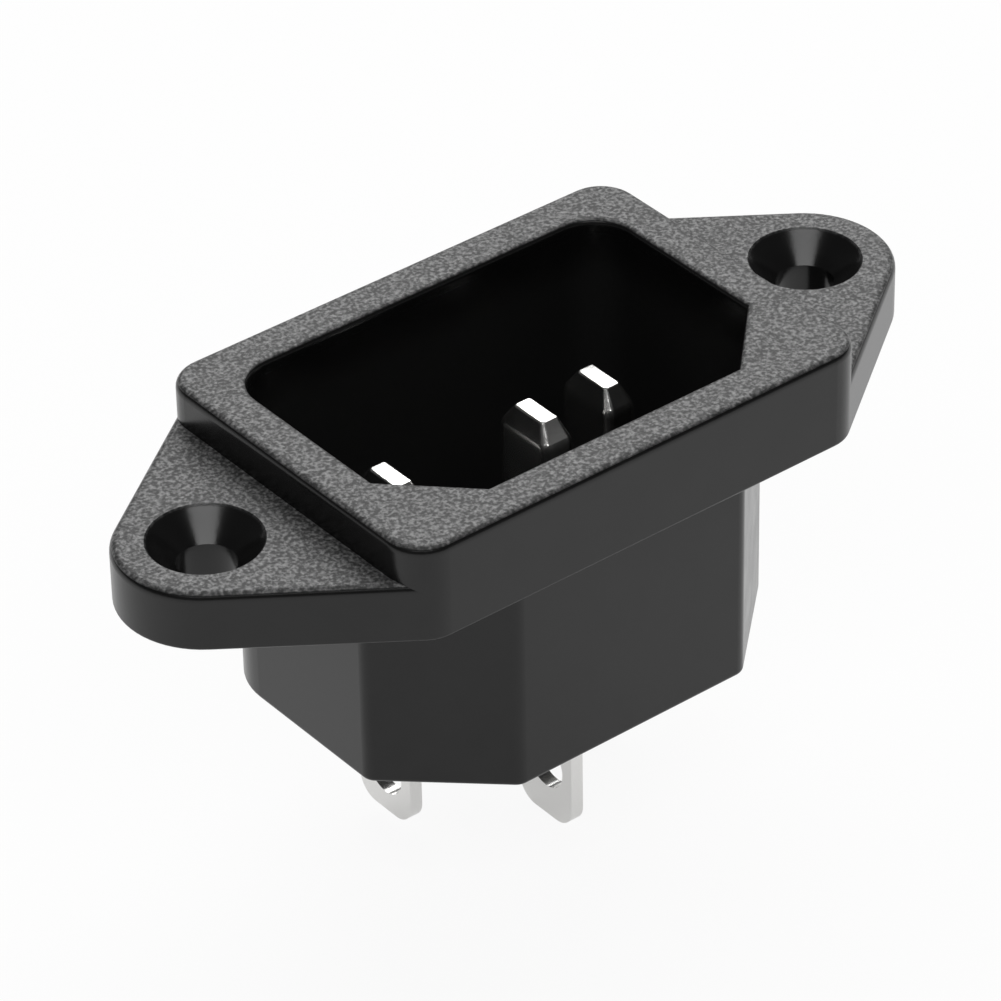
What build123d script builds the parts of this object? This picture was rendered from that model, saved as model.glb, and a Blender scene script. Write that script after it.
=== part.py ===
from build123d import *
import os

# A panel power inlet: a moulded housing that holds three fixed terminals.
# X runs through the two screw holes and Z points out of the panel, towards the plug.
# The origin lies midway between the screw holes, on the flange face that meets the panel.

# Screw ears
hole_spacing = 40.0
screw_hole_diameter = 3.2
countersink_diameter = 6.2
countersink_angle = 90.0
ear_end_radius = 4.85
ear_thickness = 3.45
ear_edge_radius = 0.5
flange_rear_radius = 0.2

# Recess that takes the plug, keyed by the two cut corners on its near side
recess_length = 24.8
recess_width = 16.2
recess_depth = 16.5
recess_corner_cut = 4.15
recess_corner_radius = 2.4
recess_mouth_radius = 0.4

# Bezel around the mouth of the recess
bezel_height = 5.7
bezel_wall = 2.6
bezel_corner_radius = 2.2
bezel_edge_radius = 0.5

# Rear body, behind the panel
body_end_wall = 1.05
body_side_wall = 1.4
body_cut_extra_length = 1.75
body_cut_extra_width = 1.3
body_corner_radius = 4.2
body_edge_radius = 0.9
body_rear_radius = 0.3
floor_thickness = 2.2

# Blades, all of one section, in two rows
blade_spacing = 14.0
row_spacing = 3.4
blade_width = 4.0
blade_thickness = 2.0
blade_edge_radius = 0.5
tip_width = 2.3
tip_thickness = 1.05
tip_corner_radius = 0.2
tip_bevel_height = 1.2
tip_edge_radius = 0.15
bevel_foot_radius = 0.8

# Shoulders, each seated in a well in the rear face
shoulder_width = 5.6
shoulder_height = 1.2
slot_clearance = 0.05

# Solder tabs behind the body, each set further from the other row than its blade
tab_thickness = 0.8
tab_width = 4.4
tab_shift = 0.85
tab_corner_radius = 1.3
tab_hole_diameter = 2.9
tab_hole_reach = 6.15

# The two power terminals
power_blade_reach = 11.4
power_tab_reach = 8.8

# The earth terminal, longer at both ends so that it meets the plug first
earth_blade_reach = 14.1
earth_tab_reach = 9.5

# Sizes that follow from the ones above
bezel_length = recess_length + 2 * bezel_wall
bezel_width = recess_width + 2 * bezel_wall
body_length = recess_length + 2 * body_end_wall
body_width = recess_width + 2 * body_side_wall
body_cut_length = recess_corner_cut + body_cut_extra_length
body_cut_width = recess_corner_cut + body_cut_extra_width
floor_z = bezel_height - recess_depth
rear_z = floor_z - floor_thickness
well_z = rear_z + shoulder_height

# Where each terminal stands: its X, and the side of the middle that its row is on
terminal_places = {
    "left_terminal": (-blade_spacing / 2, 1),
    "right_terminal": (blade_spacing / 2, 1),
    "earth_terminal": (0.0, -1),
}


def keyed_outline(length, width, cut_length, cut_width, radius):
    """A rectangle with its two near corners cut and its two far corners rounded."""
    end_x = length / 2
    side_y = width / 2
    Polygon(
        (-end_x, side_y),
        (-end_x, cut_width - side_y),
        (cut_length - end_x, -side_y),
        (end_x - cut_length, -side_y),
        (end_x, cut_width - side_y),
        (end_x, side_y),
        align=None,
    )
    fillet(vertices().group_by(Axis.Y)[-1], radius=radius)


def blade_centre(x, side):
    """Where a blade stands, in plan."""
    return (x, side * row_spacing / 2)


def shoulder_centre(x, side):
    """The middle of a shoulder, halfway between its blade and its tab."""
    return (x, side * (row_spacing + tab_shift) / 2)


def tab_y(side):
    """The middle line of a tab."""
    return side * (row_spacing / 2 + tab_shift)


def make_blade(x, side, reach):
    """The straight blade and its bevelled tip, from the well up into the recess."""
    tip_z = floor_z + reach
    bevel_z = tip_z - tip_bevel_height
    with BuildPart() as blade:
        with BuildSketch(Plane.XY.offset(well_z)):
            with Locations(blade_centre(x, side)):
                RectangleRounded(blade_thickness, blade_width, blade_edge_radius)
        extrude(amount=bevel_z - well_z)
        with BuildSketch(Plane.XY.offset(bevel_z)):
            with Locations(blade_centre(x, side)):
                RectangleRounded(blade_thickness, blade_width, blade_edge_radius)
        with BuildSketch(Plane.XY.offset(tip_z)):
            with Locations(blade_centre(x, side)):
                RectangleRounded(tip_thickness, tip_width, tip_corner_radius)
        loft()
        bevel_foot = blade.edges().group_by(Axis.Z)[-3]
        fillet(bevel_foot, radius=bevel_foot_radius)
        tip_rim = blade.edges().group_by(Axis.Z)[-1]
        fillet(tip_rim, radius=tip_edge_radius)
    return blade.part


def make_tab(x, side, reach):
    """The flat solder tab behind the body, with its rounded end and its hole."""
    with BuildPart() as tab:
        with BuildSketch(Plane.YZ.offset(x)):
            with Locations((tab_y(side), rear_z)):
                Rectangle(tab_width, reach, align=(Align.CENTER, Align.MAX))
            fillet(vertices().group_by(Axis.Y)[0], radius=tab_corner_radius)
            with Locations((tab_y(side), rear_z - tab_hole_reach)):
                Circle(tab_hole_diameter / 2, mode=Mode.SUBTRACT)
        extrude(amount=tab_thickness / 2, both=True)
    return tab.part


def make_terminal(name, blade_reach, tab_reach):
    """One metal piece: blade and tab joined by the shoulder that seats in the rear face."""
    x, side = terminal_places[name]
    blade = make_blade(x, side, blade_reach)
    tab = make_tab(x, side, tab_reach)
    with BuildPart() as terminal:
        with BuildSketch(Plane.XY.offset(rear_z)):
            with Locations(shoulder_centre(x, side)):
                Rectangle(blade_thickness, shoulder_width)
        extrude(amount=shoulder_height)
        add(blade)
        add(tab)
    terminal.part.label = name
    export_step(terminal.part, f"parts/{name}.step")


os.makedirs("parts", exist_ok=True)

with BuildPart() as housing:
    # Flange: the bezel's outline drawn out to the two round ear ends
    with BuildSketch():
        RectangleRounded(bezel_length, bezel_width, bezel_corner_radius)
        with GridLocations(hole_spacing, 0, 2, 1):
            Circle(ear_end_radius)
        make_hull()
    extrude(amount=ear_thickness)
    fillet(housing.faces().sort_by(Axis.Z)[-1].edges(), radius=ear_edge_radius)
    fillet(housing.faces().sort_by(Axis.Z)[0].edges(), radius=flange_rear_radius)

    # Bezel
    with BuildSketch(Plane.XY.offset(flange_rear_radius)):
        RectangleRounded(bezel_length, bezel_width, bezel_corner_radius)
    extrude(amount=bezel_height - flange_rear_radius)
    fillet(housing.faces().sort_by(Axis.Z)[-1].edges(), radius=bezel_edge_radius)

    # Rear body
    with BuildSketch() as body_outline:
        keyed_outline(body_length, body_width, body_cut_length, body_cut_width, body_corner_radius)
        cut_corners = body_outline.vertices().sort_by(Axis.Y)[:4]
        fillet(cut_corners, radius=body_edge_radius)
    extrude(amount=rear_z)
    fillet(housing.faces().sort_by(Axis.Z)[0].edges(), radius=body_rear_radius)

    # Recess
    with BuildSketch(Plane.XY.offset(floor_z)):
        keyed_outline(recess_length, recess_width, recess_corner_cut, recess_corner_cut, recess_corner_radius)
    extrude(amount=recess_depth, mode=Mode.SUBTRACT)
    mouth = housing.faces().sort_by(Axis.Z)[-1].inner_wires()[0]
    fillet(mouth.edges(), radius=recess_mouth_radius)

    # Slots for the blades, and wells behind them for the shoulders
    with BuildSketch(Plane.XY.offset(floor_z)):
        for x, side in terminal_places.values():
            with Locations(blade_centre(x, side)):
                RectangleRounded(
                    blade_thickness + 2 * slot_clearance,
                    blade_width + 2 * slot_clearance,
                    blade_edge_radius + slot_clearance,
                )
    extrude(amount=-floor_thickness, mode=Mode.SUBTRACT)
    with BuildSketch(Plane.XY.offset(rear_z)):
        for x, side in terminal_places.values():
            with Locations(shoulder_centre(x, side)):
                Rectangle(blade_thickness + 2 * slot_clearance, shoulder_width + 2 * slot_clearance)
    extrude(amount=shoulder_height, mode=Mode.SUBTRACT)

    # Screw holes, countersunk from the front
    with Locations(Plane.XY.offset(ear_thickness)):
        with GridLocations(hole_spacing, 0, 2, 1):
            CounterSinkHole(
                radius=screw_hole_diameter / 2,
                counter_sink_radius=countersink_diameter / 2,
                counter_sink_angle=countersink_angle,
            )
housing.part.label = "housing"
export_step(housing.part, "parts/housing.step")

make_terminal("left_terminal", power_blade_reach, power_tab_reach)
make_terminal("right_terminal", power_blade_reach, power_tab_reach)
make_terminal("earth_terminal", earth_blade_reach, earth_tab_reach)
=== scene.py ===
"""Dresses the panel power socket: grained black plastic, plated blades and tabs, a white studio."""
import math
import bpy
from mathutils import Matrix, Vector


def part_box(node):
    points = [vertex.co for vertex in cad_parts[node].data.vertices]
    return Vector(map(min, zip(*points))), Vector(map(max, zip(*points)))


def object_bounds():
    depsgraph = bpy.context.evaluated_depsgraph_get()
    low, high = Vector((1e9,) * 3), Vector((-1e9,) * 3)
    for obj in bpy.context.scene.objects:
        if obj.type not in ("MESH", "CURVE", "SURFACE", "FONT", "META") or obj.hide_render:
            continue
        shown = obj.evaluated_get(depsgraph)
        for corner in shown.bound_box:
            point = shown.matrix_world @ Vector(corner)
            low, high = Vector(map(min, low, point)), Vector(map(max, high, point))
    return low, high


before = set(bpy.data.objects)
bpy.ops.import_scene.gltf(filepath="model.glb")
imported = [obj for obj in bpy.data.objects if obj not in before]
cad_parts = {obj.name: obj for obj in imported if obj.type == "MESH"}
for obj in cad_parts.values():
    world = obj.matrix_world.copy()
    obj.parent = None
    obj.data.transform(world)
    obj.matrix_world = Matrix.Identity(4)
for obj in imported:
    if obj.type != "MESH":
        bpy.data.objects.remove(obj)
cad_low, cad_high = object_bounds()

MM = 0.001

# The camera, fitted to the photograph
camera_azimuth = 38.170
camera_elevation = 35.359
camera_roll = -1.114
camera_distance = 299.07 * MM
camera_target = Vector((-1.665, -0.697, -2.222)) * MM
camera_lens = 205.78
camera_sensor = 36.0
camera_clip_start = 10 * MM

# Where the housing's finishes, its painted sheen and its painted shade change
housing_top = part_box("housing")[1].z
recess_half_length = 12.4 * MM
recess_half_width = 8.1 * MM
recess_corner_cut = 4.15 * MM
recess_corner_radius = 2.4 * MM
recess_depth = 16.5 * MM
recess_mouth_radius = 0.4 * MM
recess_fade = 4 * MM
hole_spacing = 40.0 * MM
countersink_radius = 3.1 * MM
finish_step = 0.15 * MM

# The grain and its painted sheen end on the edge roundings, between these two values of the surface normal's
# Z
grain_and_sheen_edge = (0.64, 0.78)

# Size and depth of each texture
spark_grain_size = 0.205 * MM
spark_grain_depth = 0.05 * MM
skin_size = 0.25 * MM
skin_depth = 0.003 * MM
mottle_size = 2.5 * MM
stamping_line_size = 0.05 * MM
stamping_line_stretch = (1.0, 1.0, 12.0)
stamping_line_depth = 0.002 * MM
plating_cloud_size = 2.0 * MM
noise_turn = (0.6, 0.5, 0.4)

# The part of a noise's range over which a colour or roughness changes
grain_sheen_span = (0.37, 0.83)
grain_gloss_span = (0.36, 0.60)
cloud_span = (0.3, 0.7)

# Colours, linear
black_plastic = 0.006
black_plastic_swing = 0.2
# Painted sheen: the grain's two colours are far lighter than the plain plastic, in place of the lamps'
# reflection on the grain
grain_sheen_peak = 0.25
grain_sheen_valley = 0.025
# Painted shade: the recess is coloured darker than the plastic around it
recess_painted_shade = 0.002
plated_nickel = (0.87, 0.865, 0.85)
studio_pale = 0.92

# Roughness, as two values where it varies with a noise
grain_roughness = (0.56, 0.40)
body_roughness = (0.19, 0.23)
flange_side_roughness = 0.26
recess_roughness = 0.75
plating_roughness = (0.20, 0.24)
plastic_ior = 1.46

# The studio, in metres. A glow is the share of plain white in what the camera or a reflection sees
floor_segments = 64
floor_radius = 3.0
rim_radius = 4.0
rim_rise = 0.4
glow_to_camera = 0.93
glow_in_mirror = 0.5
room_strength = 0.06
lamp_distance = 0.7


class Nodes:
    """Short ways to add the nodes of one material."""

    def __init__(self, name):
        self.material = bpy.data.materials.new(name)
        self.material.use_nodes = True
        self.tree = self.material.node_tree
        self.tree.nodes.clear()

    def add(self, kind, **settings):
        node = self.tree.nodes.new("ShaderNode" + kind)
        for name, value in settings.items():
            setattr(node, name, value)
        return node

    def put(self, socket, value):
        """A number or colour is set on the socket, and an output is linked to it."""
        if isinstance(value, bpy.types.NodeSocket):
            self.tree.links.new(value, socket)
        else:
            socket.default_value = value

    def math(self, operation, first, second=0.0):
        node = self.add("Math", operation=operation)
        self.put(node.inputs[0], first)
        self.put(node.inputs[1], second)
        return node.outputs[0]

    def ramp(self, value, start, end, low=0.0, high=1.0):
        """Goes smoothly from low to high as value goes from start to end."""
        node = self.add("MapRange", interpolation_type="SMOOTHSTEP")
        self.put(node.inputs["Value"], value)
        self.put(node.inputs["From Min"], start)
        self.put(node.inputs["From Max"], end)
        self.put(node.inputs["To Min"], low)
        self.put(node.inputs["To Max"], high)
        return node.outputs["Result"]

    def blend(self, amount, first, second):
        """first where amount is 0, second where it is 1."""
        node = self.add("Mix", data_type="FLOAT")
        self.put(node.inputs[0], amount)
        self.put(node.inputs[2], first)
        self.put(node.inputs[3], second)
        return node.outputs[0]

    def grey(self, value):
        node = self.add("CombineColor")
        for socket in node.inputs[:3]:
            self.put(socket, value)
        return node.outputs["Color"]

    def noise(self, size, detail=2.0, stretch=(1.0, 1.0, 1.0)):
        """Noise whose lumps measure size, longer along an axis whose stretch is above 1.

        It is turned so that no flat face of the part lies along the noise's own grid."""
        mapping = self.add("Mapping")
        self.put(mapping.inputs["Vector"], self.add("TexCoord").outputs["Object"])
        self.put(mapping.inputs["Scale"], [1 / length for length in stretch])
        self.put(mapping.inputs["Rotation"], noise_turn)
        node = self.add("TexNoise")
        self.put(node.inputs["Vector"], mapping.outputs[0])
        self.put(node.inputs["Scale"], 1.0 / size)
        self.put(node.inputs["Detail"], detail)
        return node.outputs["Fac"]

    def bump(self, height, depth, below=None):
        """Raises the surface by up to depth where height is 1."""
        node = self.add("Bump")
        self.put(node.inputs["Height"], height)
        self.put(node.inputs["Distance"], depth)
        if below is not None:
            self.put(node.inputs["Normal"], below)
        return node.outputs["Normal"]

    def surface(self, shader):
        output = self.add("OutputMaterial")
        self.tree.links.new(shader, output.inputs["Surface"])


def mask_of(nodes, bounds):
    """1 where every bound is 1."""
    mask = bounds[0]
    for bound in bounds[1:]:
        mask = nodes.math("MULTIPLY", mask, bound)
    return mask


def flange_faces(nodes, x, y, z):
    """Everything ahead of the panel apart from the countersinks."""
    from_screw_x = nodes.math("SUBTRACT", nodes.math("ABSOLUTE", x), hole_spacing / 2)
    squares = nodes.math("ADD", nodes.math("POWER", from_screw_x, 2.0), nodes.math("POWER", y, 2.0))
    from_screw = nodes.math("SQRT", squares)
    return mask_of(nodes, (
        nodes.ramp(z, -finish_step, 0.0),
        nodes.ramp(from_screw, countersink_radius - finish_step, countersink_radius),
    ))


def recess_faces(nodes, x, y, z):
    """The inside of the recess, below its mouth."""
    across = nodes.math("ABSOLUTE", x)
    square_corner = recess_half_length + recess_half_width
    near_reach = square_corner - recess_corner_cut
    far_reach = square_corner - recess_corner_radius * (2 - math.sqrt(2))
    mouth = housing_top - recess_mouth_radius
    floor = housing_top - recess_depth
    return mask_of(nodes, (
        nodes.ramp(across, recess_half_length + finish_step, recess_half_length),
        nodes.ramp(nodes.math("ABSOLUTE", y), recess_half_width + finish_step, recess_half_width),
        nodes.ramp(nodes.math("SUBTRACT", across, y), near_reach + finish_step, near_reach),
        nodes.ramp(nodes.math("ADD", across, y), far_reach + finish_step, far_reach),
        nodes.ramp(z, mouth, mouth - recess_fade),
        nodes.ramp(z, floor - finish_step, floor),
    ))


def moulded_plastic():
    """Black plastic: grained on the flange's front faces with a painted sheen in the grain's colour, matt and
    painted darker as shade in the recess, smooth elsewhere.
    """
    nodes = Nodes("moulded_plastic")
    texture = nodes.add("TexCoord")
    place = nodes.add("SeparateXYZ")
    nodes.put(place.inputs[0], texture.outputs["Object"])
    facing = nodes.add("SeparateXYZ")
    nodes.put(facing.inputs[0], texture.outputs["Normal"])
    x, y, z = place.outputs
    on_flange = flange_faces(nodes, x, y, z)
    # The grain on the flange's upward faces, which also carries the painted sheen in the grain's colour
    grain_and_sheen = nodes.math("MULTIPLY", on_flange, nodes.ramp(facing.outputs["Z"], *grain_and_sheen_edge))
    # The recess below its mouth: painted shade in its colour, and matt in its roughness
    recess_shade_and_matt = recess_faces(nodes, x, y, z)

    lumps = nodes.noise(spark_grain_size, detail=3.0)
    mottle = nodes.noise(mottle_size)
    darkest = black_plastic * (1 - black_plastic_swing)
    lightest = black_plastic * (1 + black_plastic_swing)
    plain_colour = nodes.ramp(mottle, *cloud_span, darkest, lightest)
    # Painted sheen: the grain's lumps are coloured light, as a reflection of the lamps would show them
    grain_sheen_colour = nodes.ramp(lumps, *grain_sheen_span, grain_sheen_valley, grain_sheen_peak)
    # Painted shade: the recess gets the darker recess colour
    colour = nodes.blend(recess_shade_and_matt, nodes.blend(grain_and_sheen, plain_colour, grain_sheen_colour), recess_painted_shade)

    smooth = nodes.ramp(mottle, *cloud_span, *body_roughness)
    plain_roughness = nodes.blend(on_flange, smooth, flange_side_roughness)
    rough = nodes.ramp(lumps, *grain_gloss_span, *grain_roughness)
    roughness = nodes.blend(recess_shade_and_matt, nodes.blend(grain_and_sheen, plain_roughness, rough), recess_roughness)

    skin = nodes.bump(nodes.noise(skin_size), skin_depth)
    grain = nodes.bump(nodes.math("MULTIPLY", lumps, grain_and_sheen), spark_grain_depth, skin)

    shader = nodes.add("BsdfPrincipled")
    nodes.put(shader.inputs["Base Color"], nodes.grey(colour))
    nodes.put(shader.inputs["Roughness"], roughness)
    nodes.put(shader.inputs["IOR"], plastic_ior)
    nodes.put(shader.inputs["Normal"], grain)
    nodes.surface(shader.outputs["BSDF"])
    return nodes.material


def plated_metal():
    """Nickel plate over brass, with the fine lines that stamping leaves along the blade."""
    nodes = Nodes("plated_metal")
    lines = nodes.noise(stamping_line_size, stretch=stamping_line_stretch)
    cloud = nodes.noise(plating_cloud_size)
    shader = nodes.add("BsdfPrincipled")
    nodes.put(shader.inputs["Base Color"], (*plated_nickel, 1.0))
    nodes.put(shader.inputs["Metallic"], 1.0)
    nodes.put(shader.inputs["Roughness"], nodes.ramp(cloud, *cloud_span, *plating_roughness))
    nodes.put(shader.inputs["Normal"], nodes.bump(lines, stamping_line_depth))
    nodes.surface(shader.outputs["BSDF"])
    return nodes.material


def studio_white():
    """Mostly plain white to the camera, so that a faint shadow shows, and half plain white in reflections."""
    nodes = Nodes("studio_white")
    path = nodes.add("LightPath")
    mirrored = nodes.math("MAXIMUM", path.outputs["Is Glossy Ray"], path.outputs["Is Transmission Ray"])
    seen = nodes.blend(path.outputs["Is Camera Ray"], 0.0, glow_to_camera)
    own_light = nodes.blend(mirrored, seen, glow_in_mirror)
    pale = nodes.add("BsdfDiffuse")
    nodes.put(pale.inputs["Color"], (studio_pale, studio_pale, studio_pale, 1.0))
    white = nodes.add("Emission")
    nodes.put(white.inputs["Strength"], 1.0)
    mix = nodes.add("MixShader")
    nodes.put(mix.inputs[0], own_light)
    nodes.put(mix.inputs[1], pale.outputs[0])
    nodes.put(mix.inputs[2], white.outputs[0])
    nodes.surface(mix.outputs[0])
    return nodes.material


def dress(node, material):
    """Puts the material in every slot of a CAD node."""
    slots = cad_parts[node].data.materials
    for index in range(len(slots)):
        slots[index] = material


def add_object(name, data):
    """An object of the scene that holds this mesh, lamp or camera."""
    thing = bpy.data.objects.new(name, data)
    bpy.context.scene.collection.objects.link(thing)
    return thing


def add_floor():
    """A round floor with a low sloping rim, so that level views are white too."""
    z = cad_low.z
    rings = ((floor_radius, z), (rim_radius, z + rim_rise))
    corners = [(0.0, 0.0, z)]
    for radius, height in rings:
        for index in range(floor_segments):
            angle = 2 * math.pi * index / floor_segments
            corners.append((radius * math.cos(angle), radius * math.sin(angle), height))
    faces = []
    for index in range(floor_segments):
        here = 1 + index
        after = 1 + (index + 1) % floor_segments
        faces.append((0, here, after))
        faces.append((here, here + floor_segments, after + floor_segments, after))
    mesh = bpy.data.meshes.new("floor")
    mesh.from_pydata(corners, [], faces)
    mesh.materials.append(studio_white())
    add_object("floor", mesh)


def add_world():
    """A plain grey room above the floor's rim."""
    world = bpy.data.worlds.new("room")
    bpy.context.scene.world = world
    world.use_nodes = True
    background = world.node_tree.nodes["Background"]
    background.inputs["Color"].default_value = (1.0, 1.0, 1.0, 1.0)
    background.inputs["Strength"].default_value = room_strength


def direction(azimuth, elevation):
    """The way a camera at that azimuth and elevation looks."""
    a = math.radians(azimuth)
    e = math.radians(elevation)
    return Vector((math.sin(a) * math.cos(e), math.cos(a) * math.cos(e), -math.sin(e)))


def add_softbox(name, azimuth, elevation, width, height, power):
    """A rectangular lamp that shines on the object from that side."""
    lamp = bpy.data.lights.new(name, "AREA")
    lamp.shape = "RECTANGLE"
    lamp.size = width
    lamp.size_y = height
    lamp.energy = power
    softbox = add_object(name, lamp)
    aim = direction(azimuth, elevation)
    softbox.location = -aim * lamp_distance
    softbox.rotation_euler = aim.to_track_quat("-Z", "Y").to_euler()


def add_camera():
    """The photograph's own viewpoint, rolled about its line of sight."""
    forward = direction(camera_azimuth, camera_elevation)
    level = forward.cross(Vector((0, 0, 1))).normalized()
    right = Matrix.Rotation(math.radians(-camera_roll), 3, forward) @ level
    up = right.cross(forward)
    data = bpy.data.cameras.new("camera")
    data.lens = camera_lens
    data.sensor_width = camera_sensor
    data.clip_start = camera_clip_start
    camera = add_object("camera", data)
    camera.matrix_world = Matrix((
        (right.x, up.x, -forward.x, 0),
        (right.y, up.y, -forward.y, 0),
        (right.z, up.z, -forward.z, 0),
        (0, 0, 0, 1),
    ))
    camera.location = camera_target - forward * camera_distance
    bpy.context.scene.camera = camera


dress("housing", moulded_plastic())
metal = plated_metal()
for terminal in ("left_terminal", "right_terminal", "earth_terminal"):
    dress(terminal, metal)

add_floor()
add_world()
add_softbox("back_softbox", camera_azimuth + 187, elevation=46, width=0.8, height=0.6, power=5.2)
add_softbox("front_softbox", camera_azimuth, elevation=55, width=0.55, height=0.25, power=1.7)
add_camera()
bpy.context.scene.view_settings.view_transform = "Standard"
